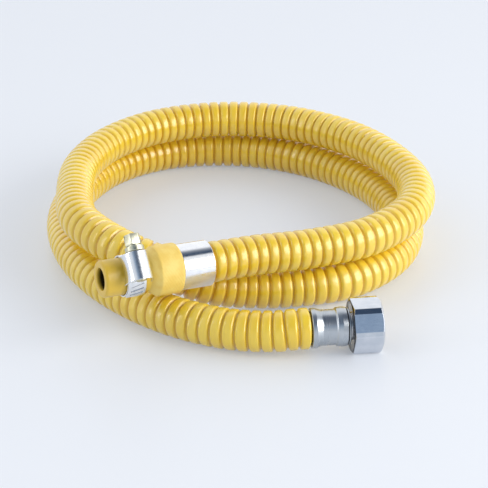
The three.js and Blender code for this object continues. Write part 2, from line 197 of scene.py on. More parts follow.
# %% Helpers for geometry trees
def fresh_tree(name, inputs):
    """Geometry tree with named inputs, given as (name, kind of socket)."""
    tree = bpy.data.node_groups.new(name, "GeometryNodeTree")
    for label, kind in [("Geometry", "Geometry"), *inputs]:
        tree.interface.new_socket(label, in_out="INPUT", socket_type="NodeSocket" + kind)
    tree.interface.new_socket("Geometry", in_out="OUTPUT", socket_type="NodeSocketGeometry")
    return tree, tree.nodes.new("NodeGroupInput").outputs


def stored(tree, geometry, label, value, kind="FLOAT"):
    """Keeps a value at each point of a geometry, as an attribute with a name."""
    sockets = {"Geometry": geometry, "Name": label, "Value": value}
    return add(tree, "GeometryNodeStoreNamedAttribute", sockets, data_type=kind).outputs[0]


def end_tree(tree, geometry, material):
    real = add(tree, "GeometryNodeRealizeInstances", {0: geometry}).outputs[0]
    done = add(tree, "GeometryNodeSetMaterial", {"Geometry": real, "Material": material})
    add(tree, "NodeGroupOutput", {"Geometry": done.outputs[0]})


def grown(data, tree, values):
    """Plain mesh that a tree makes from a curve or mesh, with the given inputs."""
    host = bpy.data.objects.new(tree.name, data)
    bpy.context.collection.objects.link(host)
    modifier = host.modifiers.new(tree.name, "NODES")
    modifier.node_group = tree
    identifiers = {item.name: item.identifier for item in tree.interface.items_tree}
    for label, value in values.items():
        modifier[identifiers[label]] = value
    graph = bpy.context.evaluated_depsgraph_get()
    mesh = bpy.data.meshes.new_from_object(host.evaluated_get(graph))
    host.modifiers.remove(modifier)
    bpy.data.objects.remove(host)
    return mesh


# %% [markdown]
# ## Tools for finishes
# A real surface is never one flat colour, so each finish gets slow and fine variation in colour,
# gloss and relief. Pictures wrapped on the pieces could give that, but they stretch on a bent hose
# and blur close by, so the patterns are noise. They read an attribute named own, which holds every
# point's place in the piece's own frame: for the hose that is the hose laid out straight. So lines
# from turning or moulding run along the piece, however it lies, and stay with it when it moves.

# %% Helpers for finishes
def finish(name, colour, metallic, roughness, **constants):
    """Material with one principled shader, whose plain numbers sit on its own sockets."""
    material = bpy.data.materials.new(name)
    material.use_nodes = True
    tree = material.node_tree
    tree.nodes.clear()
    sockets = {"Base Color": (*colour, 1), "Metallic": metallic, "Roughness": roughness}
    shader = add(tree, "ShaderNodeBsdfPrincipled", {**sockets, **constants})
    add(tree, "ShaderNodeOutputMaterial", {"Surface": shader.outputs[0]})
    print("finish", name)
    return material, tree, shader.inputs


def own_place(tree, stretch=(1, 1, 1)):
    """Place in the piece's own frame, stretched for a pattern that is longer one way."""
    place = add(tree, "ShaderNodeAttribute", attribute_name="own").outputs["Vector"]
    return add(tree, "ShaderNodeMapping", {"Vector": place, "Scale": stretch}).outputs[0]


def noise(tree, place, size, detail=2.0):
    """Noise from about 0.3 to 0.7, whose spots are about the given size in millimetres."""
    sockets = {"Vector": place, "Scale": 1 / (size * MM), "Detail": detail}
    return add(tree, "ShaderNodeTexNoise", sockets).outputs[0]


# %% Helpers for colour and relief
def blended(tree, amount, first, second):
    """Colour between two colours, each given as three numbers or as an output."""
    node = add(tree, "ShaderNodeMix", data_type="RGBA")
    tree.links.new(amount, node.inputs[0])
    for socket, value in ((node.inputs[6], first), (node.inputs[7], second)):
        if isinstance(value, bpy.types.NodeSocket):
            tree.links.new(value, socket)
        else:
            socket.default_value = (*value, 1)
    return node.outputs[2]


def clouded(tree, size, first, second, edge=0.3):
    """Colour that drifts between two colours, in patches that are softer with a lower edge."""
    cloud = ramp(tree, noise(tree, own_place(tree), size), edge, 1 - edge)
    return blended(tree, cloud, first, second)


def bumped(tree, inputs, height, depth, before=None):
    """Relief from a height of 0 to 1 that stands for a depth in millimetres."""
    sockets = {"Height": height, "Distance": depth * MM, "Strength": 1.0}
    if before is not None:
        sockets["Normal"] = before
    relief = add(tree, "ShaderNodeBump", sockets).outputs[0]
    tree.links.new(relief, inputs["Normal"])
    return relief


# %% [markdown]
# ## Yellow jacket
# The jacket is soft PVC, drawn over the corrugated tube. Its colour drifts slowly along the hose,
# and the grooves are painted deeper, as painted shade. Very fine lines run round each rib, left by
# the mould blocks that shaped it, and the surface dips a little here and there.
#
# One glossy layer gives either small sharp highlights or broad dull ones, but soft PVC shows both.
# So the plastic itself is glossy, for the small ones, and a clear skin on it is duller, for the
# pale sheen round them.

# %% Finish of the jacket
YELLOW = (0.80, 0.54, 0.025)
YELLOW_LIGHT = (0.835, 0.595, 0.04)
YELLOW_GROOVE_SHADE = (0.68, 0.36, 0.008)
SKIN = {"IOR": 1.6, "Coat Weight": 0.7, "Coat Roughness": 0.3, "Coat IOR": 1.6}
COLOUR_DRIFT = 22
GLOSS_SPOTS = 3.5
MOULD_LINES = 0.55
DIPS = 4.0

jacket_finish, tree, inputs = finish("yellow_pvc", YELLOW, 0.0, 0.2, **SKIN)
colour = clouded(tree, COLOUR_DRIFT, YELLOW, YELLOW_LIGHT, edge=0.35)
groove = add(tree, "ShaderNodeAttribute", attribute_name="groove").outputs["Fac"]
# painted shade: the grooves are blended towards a deeper yellow
colour = blended(tree, ramp(tree, groove, 0.35, 1.0, 0.0, 0.75), colour, YELLOW_GROOVE_SHADE)
tree.links.new(colour, inputs["Base Color"])
gloss = noise(tree, own_place(tree), GLOSS_SPOTS, 4.0)
tree.links.new(ramp(tree, gloss, 0.3, 0.7, 0.16, 0.24), inputs["Roughness"])
lines = noise(tree, own_place(tree, (0.12, 0.12, 1)), MOULD_LINES)
relief = bumped(tree, inputs, lines, 0.008)
bumped(tree, inputs, noise(tree, own_place(tree), DIPS, 1.0), 0.012, relief)

# %% [markdown]
# ## Corrugated tube
# The real tube is blown into a chain of mould blocks, so all its ribs are alike. One rib could be
# modelled and repeated by an Array and a Curve modifier, but then every change of the rib means new
# modelling, and its number has to be counted by hand. The ribs follow a rule, so a tree makes them,
# for the jacket and for the steel bellows inside it.
#
# It lays rings along the route and sets each ring's radius from its place in the rib: a broad and
# slightly domed crest, round shoulders and a narrow groove. The rings crowd on each shoulder, where
# the surface turns sharply. The bore is a second wall, turned inside out. At both ends the two
# walls are then joined by a rim.

# %% Profile of a rib
CROWDING = ((1, 0.5), (2, -0.25))
SHOULDER = 0.58
CREST_DROP = 0.14


def crowded(tree, share):
    """Moves even places in a rib, from 0 to 1, towards its shoulders, by waves of given amounts."""
    part = share
    for waves, amount in CROWDING:
        wave = calc(tree, "SINE", calc(tree, "MULTIPLY", share, 2 * math.pi * waves))
        part = calc(tree, "MULTIPLY_ADD", wave, -amount / (2 * math.pi * waves), part)
    return part


def groove_at(tree, part):
    """How deep the surface lies at a place in a rib: 0 on the crest and 1 in the groove."""
    off_crest = calc(tree, "ABSOLUTE", calc(tree, "MULTIPLY_ADD", part, 2.0, -1.0))
    flank = ramp(tree, off_crest, SHOULDER, 1.0, 0.0, 1 - CREST_DROP)
    dome = calc(tree, "MULTIPLY", calc(tree, "POWER", off_crest, 2.0), CREST_DROP)
    return calc(tree, "ADD", flank, dome)


# %% One wall of the tube
def add_wall(tree, line, ribs, rings, radius, depth, sides):
    """One wall of the tube, with its own number of rings in each rib."""
    count = calc(tree, "MULTIPLY_ADD", ribs, rings, 1.0)
    rail = add(tree, "GeometryNodeResampleCurve", {"Curve": line, "Count": count}).outputs[0]
    turn = calc(tree, "DIVIDE", add(tree, "GeometryNodeInputIndex").outputs[0], rings)
    part = crowded(tree, calc(tree, "FRACT", turn))
    place = calc(tree, "DIVIDE", calc(tree, "ADD", calc(tree, "FLOOR", turn), part), ribs)
    spot = add(tree, "GeometryNodeSampleCurve", {"Curves": line, "Factor": place}, mode="FACTOR")
    sockets = {"Geometry": rail, "Position": spot.outputs["Position"]}
    rail = add(tree, "GeometryNodeSetPosition", sockets).outputs[0]

    groove = groove_at(tree, part)
    length = add(tree, "GeometryNodeCurveLength", {"Curve": line}).outputs[0]
    rail = stored(tree, rail, "groove", groove)
    rail = stored(tree, rail, "along", calc(tree, "MULTIPLY", place, length))

    circle = add(tree, "GeometryNodeCurvePrimitiveCircle", {"Resolution": sides, "Radius": 1.0})
    around = add(tree, "GeometryNodeInputPosition").outputs[0]
    ring = stored(tree, circle.outputs[0], "round", around, "FLOAT_VECTOR")
    scale = calc(tree, "SUBTRACT", radius, calc(tree, "MULTIPLY", groove, depth))
    sockets = {"Curve": rail, "Profile Curve": ring, "Scale": scale}
    return add(tree, "GeometryNodeCurveToMesh", sockets).outputs[0]


# %% Tree for the corrugated tube
def read(tree, label, kind):
    sockets = {"Name": label}
    return add(tree, "GeometryNodeInputNamedAttribute", sockets, data_type=kind).outputs[0]


def laid_straight(tree, radius):
    """Place of each point on the tube laid out straight, along Z."""
    sockets = {0: read(tree, "round", "FLOAT_VECTOR"), "Scale": radius}
    around = add(tree, "ShaderNodeVectorMath", sockets, operation="SCALE").outputs[0]
    down = add(tree, "ShaderNodeCombineXYZ", {"Z": read(tree, "along", "FLOAT")}).outputs[0]
    return add(tree, "ShaderNodeVectorMath", {0: around, 1: down}, operation="ADD").outputs[0]


def corrugated_tree():
    tree, given = fresh_tree("corrugated tube", [
        ("Rib pitch", "Float"), ("Crest radius", "Float"), ("Groove depth", "Float"),
        ("Bore radius", "Float"), ("Bore groove depth", "Float"), ("Rings", "Int"),
        ("Bore rings", "Int"), ("Sides", "Int"), ("Material", "Material"),
    ])
    line = given["Geometry"]
    length = add(tree, "GeometryNodeCurveLength", {"Curve": line}).outputs[0]
    ribs = calc(tree, "ROUND", calc(tree, "DIVIDE", length, given["Rib pitch"]))
    outside = add_wall(tree, line, ribs, given["Rings"], given["Crest radius"],
                       given["Groove depth"], given["Sides"])
    inside = add_wall(tree, line, ribs, given["Bore rings"], given["Bore radius"],
                      given["Bore groove depth"], given["Sides"])
    inside = add(tree, "GeometryNodeFlipFaces", {"Mesh": inside}).outputs[0]
    both = add(tree, "GeometryNodeJoinGeometry")
    for wall in (inside, outside):
        tree.links.new(wall, both.inputs[0])
    own = laid_straight(tree, given["Crest radius"])
    laid = stored(tree, both.outputs[0], "own", own, "FLOAT_VECTOR")
    smooth = add(tree, "GeometryNodeSetShadeSmooth", {"Geometry": laid}).outputs[0]
    end_tree(tree, smooth, given["Material"])
    return tree


corrugated = corrugated_tree()
print("corrugated tube:", len(corrugated.nodes), "nodes")

# %% Grow a tube along a line
def line_curve(name, line):
    """Curve object's data with one straight-sided spline through points in millimetres."""
    data = bpy.data.curves.new(name, "CURVE")
    data.dimensions = "3D"
    spline = data.splines.new("POLY")
    spline.points.add(len(line) - 1)
    flat = np.hstack([line * MM, np.ones((len(line), 1))]).ravel()
    spline.points.foreach_set("co", flat)
    return data


def rimmed(mesh, ends):
    """Joins the two walls of a tube at its ends, which are given as points in metres."""
    work = bmesh.new()
    work.from_mesh(mesh)
    rims = [edge for edge in work.edges if edge.is_boundary]
    for end in ends:
        near = [e for e in rims if (e.verts[0].co - Vector(end)).length < HOSE_OD * MM]
        bmesh.ops.bridge_loops(work, edges=near)
    still_open = sum(edge.is_boundary for edge in work.edges)
    work.to_mesh(mesh)
    work.free()
    return still_open


def tube(name, line, sizes, counts, material):
    """Tube along a line, with sizes in millimetres and counts of rings and sides."""
    metres = {label: size * MM for label, size in sizes.items()}
    mesh = grown(line_curve(name, line), corrugated, {**metres, **counts, "Material": material})
    still_open = rimmed(mesh, (line[0] * MM, line[-1] * MM))
    mesh.name = name
    print(f"{name}: {len(mesh.polygons)} faces, {still_open} open edges")
    return mesh


# %% [markdown]
# ## Handing a piece over
# Each finished mesh becomes an object at the origin with its place in its mesh. It rides on its
# body, stands for its solid and takes the finish that it is given, if any.

# %% Helpers for pieces
def handed_over(name, mesh, body, node, material=None):
    if material is not None:
        mesh.materials.clear()
        mesh.materials.append(material)
    piece = bpy.data.objects.new(name, mesh)
    bpy.context.collection.objects.link(piece)
    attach(piece, body)
    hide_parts(node)
    return piece


def settled(mesh, place):
    """Moves a mesh drawn in millimetres to its place in metres, and keeps its own places."""
    mesh.transform(Matrix.Scale(MM, 4))
    places = np.empty(3 * len(mesh.vertices))
    mesh.vertices.foreach_get("co", places)
    mesh.attributes.new("own", "FLOAT_VECTOR", "POINT").data.foreach_set("vector", places)
    mesh.transform(Matrix.Translation(place.translation * MM) @ place.to_3x3().to_4x4())
    return mesh


# %% Jacket
RIB_PITCH = 5.55
JACKET_SIZES = {
    "Rib pitch": RIB_PITCH, "Crest radius": HOSE_OD / 2, "Groove depth": 1.55,
    "Bore radius": 7.75, "Bore groove depth": 0.0,
}
JACKET_COUNTS = {"Rings": 12, "Bore rings": 1, "Sides": 32}

jacket_mesh = tube("jacket", jacket_line, JACKET_SIZES, JACKET_COUNTS, jacket_finish)
jacket = handed_over("jacket", jacket_mesh, "hose", "hose_jacket")

# %% [markdown]
# ## Steel bellows
# The gas runs in a thin stainless tube with the same ribs. Only its two ends would show if the
# hose were cut open, so it gets fewer sides. Stainless steel is dull silver, brushed by the rollers
# that formed it.
#
# All the metals here differ only in numbers: two near colours in soft patches, and a finer grain
# that steers both gloss and relief, stretched along the brushing, the turning or the rolling. So
# one helper makes them all.

# %% Helper for metals
def metal(name, colours, patch, grain, gloss, depth, stretch=(1, 1, 1), edge=0.3, detail=2.0):
    """Metal in two colours, in patches. Its grain steers the roughness, between two numbers, and
    the relief."""
    material, tree, inputs = finish(name, colours[0], 1.0, sum(gloss) / 2)
    tree.links.new(clouded(tree, patch, *colours, edge=edge), inputs["Base Color"])
    fine = noise(tree, own_place(tree, stretch), grain, detail)
    tree.links.new(ramp(tree, fine, 0.3, 0.7, *gloss), inputs["Roughness"])
    bumped(tree, inputs, fine, depth)
    return material


# %% Finish of stainless steel
STEEL = ((0.66, 0.67, 0.69), (0.76, 0.77, 0.78))

steel_finish = metal(
    "stainless_steel", STEEL, patch=6, stretch=(1, 0.08, 0.08), grain=0.25, gloss=(0.2, 0.32),
    depth=0.006,
)

# %% Bellows
BELLOWS_SIZES = {
    "Rib pitch": RIB_PITCH, "Crest radius": 7.45, "Groove depth": 1.0,
    "Bore radius": 7.1, "Bore groove depth": 1.0,
}
BELLOWS_COUNTS = {"Rings": 6, "Bore rings": 6, "Sides": 20}

bellows_mesh = tube("bellows", bellows_line, BELLOWS_SIZES, BELLOWS_COUNTS, steel_finish)
bellows = handed_over("bellows", bellows_mesh, "hose", "steel_bellows")

# %% [markdown]
# ## Turned pieces
# The ferrules, the tail pipe, the gasket and the rubber are all round, so they are outlines turned
# about an axis. The Screw modifier turns an outline too, but it turns the same one all round, and
# a thread needs another one at each angle. So a short helper does it.
#
# An outline is a list of corners, each with the radius of its rounding, because a real edge catches
# a thin line of light. Beside each rounding a second ring sits close by, which keeps the smooth
# shading of the edge off the plain wall next to it.

# %% Rounded outlines
ROUNDING_SHARE = 0.45
HOLD = 0.06
HOLD_SHARE = 0.04


def rounded(corners, closed=True, steps=4):
    """Outline through corners given as (along, height, rounding)."""
    points = [np.array(corner[:2], float) for corner in corners]
    outline = []
    for i, (corner, point) in enumerate(zip(corners, points)):
        at_end = not closed and i in (0, len(points) - 1)
        if at_end or len(corner) < 3:
            outline.append(point)
            continue
        back, on = points[i - 1] - point, points[(i + 1) % len(points)] - point
        far_back, far_on = np.linalg.norm(back), np.linalg.norm(on)
        back, on = back / far_back, on / far_on
        half = math.acos(np.clip(np.dot(back, on), -1, 1)) / 2
        nearest = min(far_back, far_on)
        reach = min(corner[2] / math.tan(half), ROUNDING_SHARE * nearest)
        hold = min(HOLD, HOLD_SHARE * nearest)
        first, last = point + back * reach, point + on * reach
        outline.append(first + back * hold)
        for s in np.linspace(0, 1, steps + 1):
            outline.append((1 - s) ** 2 * first + 2 * s * (1 - s) * point + s**2 * last)
        outline.append(last + on * hold)
    return np.array(outline)


# %% Turning an outline
SEGMENTS = 96
MERGE = 1e-4


def revolved(name, outline_at, angles=None, closed=True):
    """Mesh turned about the X axis. outline_at gives the outline at an angle, running along the
    outside towards +X; an open outline starts and ends on the axis."""
    if angles is None:
        angles = np.linspace(0, 2 * math.pi, SEGMENTS, endpoint=False)
    outlines = [outline_at(angle) for angle in angles]
    rows = len(outlines[0])
    points = [
        (x, r * math.cos(angle), r * math.sin(angle))
        for angle, outline in zip(angles, outlines) for x, r in outline
    ]
    columns = len(angles)
    faces = [
        (c * rows + i, n * rows + i, n * rows + j, c * rows + j)
        for c, n in ((c, (c + 1) % columns) for c in range(columns))
        for i, j in ((i, (i + 1) % rows) for i in range(rows if closed else rows - 1))
    ]
    mesh = bpy.data.meshes.new(name)
    mesh.from_pydata(points, [], faces)
    work = bmesh.new()
    work.from_mesh(mesh)
    bmesh.ops.remove_doubles(work, verts=work.verts, dist=MERGE)
    work.to_mesh(mesh)
    work.free()
    mesh.shade_smooth()
    return mesh


# %% Round pieces
def turned(name, corners, place, node, material):
    """Round piece on the hose, from the corners of its outline."""
    outline = rounded(corners)
    mesh = settled(revolved(name, lambda angle: outline), place)
    print(f"{name}: {len(mesh.polygons)} faces")
    return handed_over(name, mesh, "hose", node, material)


# %% [markdown]
# ## Nut end
# A ferrule is pressed over the hose's end. It starts with a lip that flares over the jacket, runs
# down to a smooth neck, and swells to a bead that keeps the nut from sliding back. The tail pipe
# inside it ends in a flange, and the nut pulls that flange against a black gasket of dull rubber
# with a fine grain.
#
# The ferrule is plated brass with a satin shine: bluish grey and soft, with faint rings from the
# lathe.

# %% Finish of satin chrome
SATIN = ((0.46, 0.50, 0.54), (0.53, 0.56, 0.59))

satin_finish = metal(
    "satin_chrome", SATIN, patch=5, stretch=(1, 0.02, 0.02), grain=1.2, gloss=(0.27, 0.29),
    depth=0.0003,
)

# %% Finish of the gasket
GASKET_DARK = (0.012, 0.012, 0.014)
GASKET_WORN = (0.035, 0.035, 0.037)

gasket_finish, tree, inputs = finish("gasket_rubber", GASKET_DARK, 0.0, 0.7)
grain = noise(tree, own_place(tree), 0.4, 4.0)
tree.links.new(blended(tree, grain, GASKET_DARK, GASKET_WORN), inputs["Base Color"])
tree.links.new(ramp(tree, grain, 0.3, 0.7, 0.6, 0.8), inputs["Roughness"])
bumped(tree, inputs, grain, 0.03)

# %% Ferrule at the nut
turned("nut_ferrule", [
    (0.3, 8.8, 0.3), (0.5, 9.35, 0.4), (2.4, 9.45, 1.2), (5.4, 8.43, 2.0), (11.7, 8.38, 0.5),
    (12.4, 9.1, 0.7), (14.6, 9.32, 1.6), (17.0, 9.1, 0.9), (17.6, 8.6, 0.3), (18.1, 8.7, 0.25),
    (18.4, 8.5, 0.2), (18.4, 6.8, 0.2), (11.3, 6.8), (11.3, 7.75), (0.3, 7.75, 0.2),
], nut_frame, "nut_end_ferrule", satin_finish)

# %% Tail pipe and gasket
turned("tail_pipe", [
    (2.0, 5.9, 0.4), (11.3, 5.9), (11.3, 6.5), (21.8, 6.5, 0.2), (21.8, 9.02, 0.3),
    (23.6, 9.02, 0.3), (23.6, 4.6, 0.4), (2.0, 4.6, 0.4),
], nut_frame, "tail_pipe", steel_finish)

turned("gasket", [
    (23.9, 9.02, 0.3), (25.9, 9.02, 0.3), (25.9, 5.0, 0.3), (23.9, 5.0, 0.3),
], nut_frame, "sealing_gasket", gasket_finish)

# %% [markdown]
# ## Swivel nut
# The nut is a hexagon bar, turned down to a cone at both ends, and threaded inside. It is polished
# and mirrors the room almost sharply, with fine lines along it from grinding. Its back face lies
# close to the ferrule's bead, where little light comes, so a step along the axis darkens it there.
#
# Polishing has rolled the edges of its six flats over a little: each flat is plane in the middle
# and falls away near the edges, and that strip mirrors another part of the room. A Bevel modifier
# would give every edge the same round. So the mesh is turned about the axis like the others, but
# each column gets its own outline, with its vertices exactly where the cone meets the flat. The
# thread is a wave on the bore, shifted by one pitch in each turn.

# %% Finish of the polished nut
NUT_START = 19.1
NUT_END = 33.5
POLISHED = ((0.61, 0.65, 0.71), (0.68, 0.71, 0.76))
BACK_DARK = (0.05, 0.05, 0.055)
BACK_STEP = ((NUT_START + 0.2) * MM, (NUT_START + 0.65) * MM)

polished_finish = metal(
    "polished_chrome", POLISHED, patch=5, stretch=(0.06, 1, 1), grain=0.3, gloss=(0.07, 0.13),
    depth=0.001,
)
tree = polished_finish.node_tree
base = node_of(tree, "BSDF_PRINCIPLED").inputs["Base Color"]
plating = base.links[0].from_socket
down = add(tree, "ShaderNodeSeparateXYZ", {0: own_place(tree)}).outputs[0]
on_back = ramp(tree, down, *BACK_STEP, 1.0, 0.0)
tree.links.new(blended(tree, on_back, plating, BACK_DARK), base)

# %% Flats of the nut
HALF_FLATS = 12.0
NUT_FACE_R = 11.2
NUT_BACK_R = 11.9
FLAT_MIDDLE = 2.1
ROLL_START = 4.3
ROLL_SLOPE = math.tan(math.radians(9))
ROLL_BEND = 0.0135
ROLL_MARGIN = 0.15
CORNER_BREAK = 0.05


def roll(across):
    """How far a flat has fallen away at a distance from its middle."""
    over = max(0.0, across - ROLL_START)
    return over * ROLL_SLOPE + over**2 * ROLL_BEND


edge = HALF_FLATS * math.tan(math.pi / 6)
for _ in range(20):
    edge = (HALF_FLATS - roll(edge)) * math.tan(math.pi / 6)
rolled = np.linspace(ROLL_START + ROLL_MARGIN, edge - ROLL_MARGIN, 6)
half = [0, FLAT_MIDDLE, ROLL_START - 0.12, ROLL_START, *rolled]
places = [(s, HALF_FLATS - roll(s)) for s in half]
places.append((edge, (HALF_FLATS - roll(edge)) - CORNER_BREAK))
flat = [(math.atan2(s, h), math.hypot(s, h)) for s, h in places]
columns = []
for side in range(6):
    middle = math.radians(30 + 60 * side)
    columns += [(middle - a, r) for a, r in flat[:0:-1] if a < math.pi / 6 - 1e-3]
    columns += [(middle + a, r) for a, r in flat]
radius_at = dict(columns)
print(f"nut: {len(columns)} columns, {2 * max(radius_at.values()):.1f} mm over the corners")

# %% Nut
THREAD_R = 9.32
THREAD_DEPTH = 1.1
THREAD_PITCH = 1.814
THREAD_ROWS = 76
NUT_CONE = math.tan(math.radians(30))
NUT_SHOULDER = 21.5
NUT_BORE_R = 6.8


def threaded(xs, angle, inner, depth, pitch, fade):
    """Radii of a right-handed thread at places along the axis."""
    wave = 0.5 - 0.5 * np.cos(2 * math.pi * (xs / pitch - angle / (2 * math.pi)))
    ease = np.clip(np.minimum(xs - xs.min(), xs.max() - xs) / fade, 0, 1)
    return inner + depth * wave * ease


def nut_outline(angle):
    r = radius_at[angle]
    cone, back = ((r - face) * NUT_CONE for face in (NUT_FACE_R, NUT_BACK_R))
    outside = rounded([
        (NUT_START, NUT_BORE_R), (NUT_START, NUT_BACK_R, 0.08), (NUT_START + back, r, 0.15),
        (NUT_END - cone, r, 0.15), (NUT_END, NUT_FACE_R, 0.15), (NUT_END, THREAD_R + 1.1, 0.15),
        (NUT_END - 1.1, THREAD_R),
    ], closed=False)
    xs = np.linspace(NUT_END - 1.2, NUT_SHOULDER + 0.1, THREAD_ROWS)
    thread = np.column_stack([xs, threaded(xs, angle, THREAD_R, THREAD_DEPTH, THREAD_PITCH, 1.2)])
    shoulder = [(NUT_SHOULDER, r) for r in (THREAD_R, 9.0, NUT_BORE_R + 0.1)]
    return np.vstack([outside, thread, shoulder, [(NUT_SHOULDER - 0.1, NUT_BORE_R)]])


nut_mesh = settled(revolved("swivel_nut", nut_outline, [angle for angle, _ in columns]), nut_frame)
handed_over("union_nut", nut_mesh, "union_nut", "swivel_nut", polished_finish)
print("union_nut:", len(nut_mesh.polygons), "faces")

# %% [markdown]
# ## Socket end
# The socket is moulded rubber: a plain neck that goes over the gas nozzle, a cone, and a thicker
# body behind it. The rubber is matt and pale on the body, where the mould has left faint slanting
# lines, and shinier on the neck, which the clamp and hands have rubbed. The neck's colour is painted
# darker, as painted shade, and the bore is painted dark from its mouth inwards, as painted shade.
# All this changes along the socket or away from its axis, so steps along its own frame place it,
# and no picture has to be painted and unwrapped.
#
# A bright chrome sleeve is pressed over the socket's tail and the jacket. It is almost a mirror,
# and duller towards its underside. A plain metal node would mirror the same all round, so two
# roughnesses are added: a haze in spots, and a step by height in the sleeve's own frame.

# %% Finish of the rubber
RUBBER = (0.84, 0.58, 0.12)
RUBBER_LIGHT = (0.88, 0.65, 0.17)
RUBBER_NECK_SHADE = (0.70, 0.46, 0.05)
BORE_PAINTED_SHADE = (0.02, 0.013, 0.004)
NECK_TO_BODY = (21 * MM, 25 * MM)
BORE_EDGE = 6.1 * MM
BORE_SHADE_FADE = (0.5 * MM, 2.6 * MM)
NECK_GLOSS = 0.3
BODY_GLOSS = 0.48
LINE_SLANT = math.radians(32)
LINE_SCALE = 260.0
LINE_DEPTH = 0.035
RUBBER_GRAIN = 0.8
GRAIN_DEPTH = 0.04

rubber_finish, tree, inputs = finish("yellow_rubber", RUBBER, 0.0, 0.5)
place = own_place(tree)
down = add(tree, "ShaderNodeSeparateXYZ", {0: place}).outputs[0]
on_body = ramp(tree, down, *NECK_TO_BODY)
patches = ramp(tree, noise(tree, place, 5, 3.0), 0.35, 0.65)
# painted shade: the neck takes a darker yellow than the body
colour = blended(tree, on_body, RUBBER_NECK_SHADE, blended(tree, patches, RUBBER, RUBBER_LIGHT))
sockets = {0: place, 1: (0, 1, 1)}
flat_place = add(tree, "ShaderNodeVectorMath", sockets, operation="MULTIPLY").outputs[0]
off_axis = add(tree, "ShaderNodeVectorMath", {0: flat_place}, operation="LENGTH").outputs["Value"]
# painted shade: the bore is darkened from just inside its mouth inwards
in_bore = calc(tree, "LESS_THAN", off_axis, BORE_EDGE)
shade = calc(tree, "MULTIPLY", in_bore, ramp(tree, down, *BORE_SHADE_FADE))
tree.links.new(blended(tree, shade, colour, BORE_PAINTED_SHADE), inputs["Base Color"])
tree.links.new(ramp(tree, down, *NECK_TO_BODY, NECK_GLOSS, BODY_GLOSS), inputs["Roughness"])
slant = add(tree, "ShaderNodeMapping", {"Vector": place, "Rotation": (0.0, LINE_SLANT, 0.0)})
sockets = {"Vector": slant.outputs[0], "Scale": LINE_SCALE, "Distortion": 2.0, "Detail": 2.0}
lines = add(tree, "ShaderNodeTexWave", sockets, bands_direction="X").outputs["Fac"]
relief = bumped(tree, inputs, calc(tree, "MULTIPLY", lines, on_body), LINE_DEPTH)
bumped(tree, inputs, noise(tree, place, RUBBER_GRAIN, 4.0), GRAIN_DEPTH, relief)

# %% Finish of bright chrome
CHROME = (0.86, 0.87, 0.89)
CHROME_DIM = (0.80, 0.82, 0.85)
HAZE = (0.1, 0.15)
UNDERSIDE = (-3.5 * MM, 2.0 * MM)
UNDERSIDE_DULL = 0.34

chrome_finish, tree, inputs = finish("bright_chrome", CHROME, 1.0, 0.16)
tree.links.new(clouded(tree, 4, CHROME, CHROME_DIM), inputs["Base Color"])
haze = ramp(tree, noise(tree, own_place(tree), 1.5, 4.0), 0.3, 0.7, *HAZE)
low = add(tree, "ShaderNodeSeparateXYZ", {0: own_place(tree)}).outputs[2]
dull = ramp(tree, low, *UNDERSIDE, UNDERSIDE_DULL, 0.0)
tree.links.new(calc(tree, "ADD", haze, dull), inputs["Roughness"])
bumped(tree, inputs, noise(tree, own_place(tree), 7), 0.004)

# %% Rubber socket, sleeve and nipple
socket = turned("rubber_socket_body", [
    (0, 8.75, 1.3), (22.3, 8.75, 1.5), (26.6, 11.9, 1.6), (37.9, 11.9, 0.7), (37.9, 9.9),
    (43.9, 9.9), (43.9, 6.2), (24, 6.2), (24, 5.2), (0, 5.2, 0.9),
], socket_frame, "rubber_socket", rubber_finish)

sleeve = turned("socket_sleeve", [
    (38.2, 10.9, 0.3), (53.8, 10.9, 1.1), (53.8, 10.2, 0.1), (38.2, 10.2, 0.1),
], socket_frame, "socket_ferrule", chrome_finish)

nipple = turned("nipple", [
    (24.3, 5.9, 0.3), (55.2, 5.9, 0.3), (55.2, 4.6, 0.3), (24.3, 4.6, 0.3),
], socket_frame, "socket_nipple", steel_finish)

# %% [markdown]
# ## Clamp band
# The band is one steel strip that goes round the neck, passes under the screw, climbs on its own
# start and ends below the housing. Slanted slots in its last part take the thread of the screw:
# they are pressed in, not cut through, so they show as bright bars with soft shade between them. A
# strip that follows a curve, and a slot that repeats, are work for a tree: it bends a straight line
# to the band's path, gives it a section with rounded edges, and cuts the slots. The steel is smooth
# and bright, with a faint grain from rolling.

# %% Strip of the band
def arc_point(tree, angle, radius):
    x, y = (calc(tree, "MULTIPLY", radius, calc(tree, wave, angle)) for wave in ("COSINE", "SINE"))
    return add(tree, "ShaderNodeCombineXYZ", {"X": x, "Y": y}).outputs[0]


def path_radius(tree, given, angle):
    """Distance of the strip's middle from the axis, with its climb on its own start."""
    start, end = given["Climb start"], given["Climb end"]
    climb = ramp(tree, angle, start, end, 0.0, given["Climb height"])
    middle = calc(tree, "MULTIPLY_ADD", given["Thickness"], 0.5, given["Radius"])
    return calc(tree, "ADD", middle, climb)


